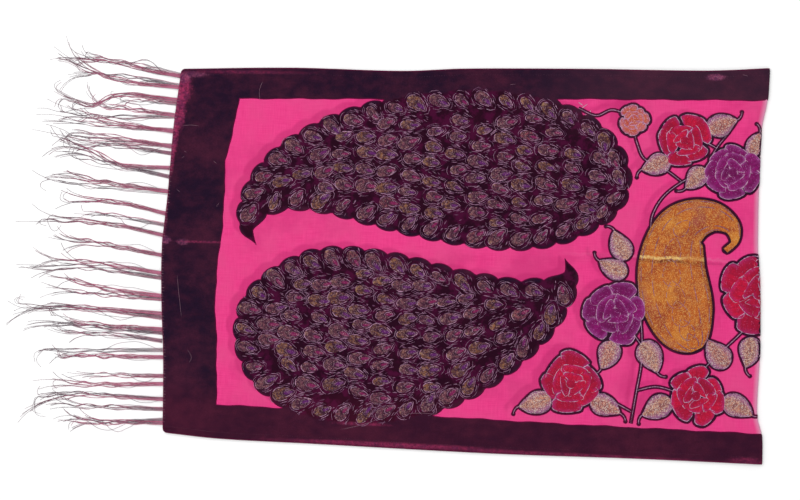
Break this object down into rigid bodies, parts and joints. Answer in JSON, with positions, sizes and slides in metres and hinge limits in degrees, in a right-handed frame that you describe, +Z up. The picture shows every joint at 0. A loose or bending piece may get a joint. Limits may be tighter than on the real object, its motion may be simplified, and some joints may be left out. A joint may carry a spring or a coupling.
{
  "type": "velvet scarf",
  "caption": "Long burnt-out velvet scarf with a fringe at each end, folded once across its middle and lying flat, its two fringed ends one over the other.",
  "frame": {"origin": "centre of the whole scarf's footprint, fringe included, on the surface that it lies on", "axes": "+X from the fringed ends to the fold, +Y to the far long side, +Z up off the surface"},
  "size_m": [1.0466, 0.5442, 0.0067],
  "materials": {
    "velvet_pile": "deep plum pile with a soft sheen",
    "sheer_ground": "hot pink sheer weave",
    "glitter_print": "fine glitter print",
    "fringe_thread": "loose silky threads"
  },
  "bodies": {
    "root": {"scarf_cloth": "velvet_pile", "fringe_upper_end": "fringe_thread", "fringe_lower_end": "fringe_thread"}
  },
  "joints": []
}
